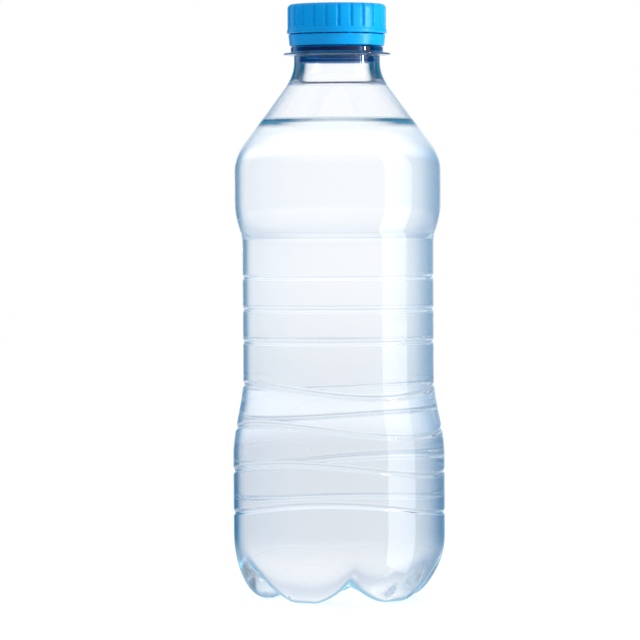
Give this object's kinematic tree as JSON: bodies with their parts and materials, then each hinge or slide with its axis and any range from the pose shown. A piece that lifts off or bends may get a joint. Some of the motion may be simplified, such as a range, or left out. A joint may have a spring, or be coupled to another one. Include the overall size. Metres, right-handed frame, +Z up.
{
  "type": "plastic water bottle",
  "caption": "Clear blown plastic bottle, full of water to the shoulder, with a wavy ribbed body, petal feet and a fluted blue screw cap over its tamper band.",
  "frame": {"origin": "on the bottle's axis, in the plane that the five feet stand on", "axes": "+Z up along the bottle's axis, -Y towards the front, +X to the front's right"},
  "size_m": [0.0694, 0.0694, 0.1946],
  "materials": {
    "clear_pet": "clear, glossy blown plastic with a faint blue cast",
    "water": "clear still water",
    "blue_cap": "satin moulded plastic, sky blue",
    "white_liner": "soft white sealing plastic"
  },
  "bodies": {
    "bottle": {"bottle": "clear_pet", "water": "water", "tamper_band": "blue_cap"},
    "liner": {"cap_liner": "white_liner"},
    "cap": {"cap": "blue_cap"}
  },
  "joints": [
    {"name": "cap_lift", "type": "slide", "parent": "bottle", "child": "liner", "axis": [0, 0, 1], "range_m": [0, 0.0046]},
    {"name": "cap_turn", "type": "hinge", "parent": "liner", "child": "cap", "pos_m": [0, 0, 0.1849], "axis": [0, 0, 1], "range_deg": [0, 540]}
  ],
  "couplings": [
    {"joint": "cap_lift", "follows": "cap_turn", "m_per_rad": 0.00047746}
  ]
}
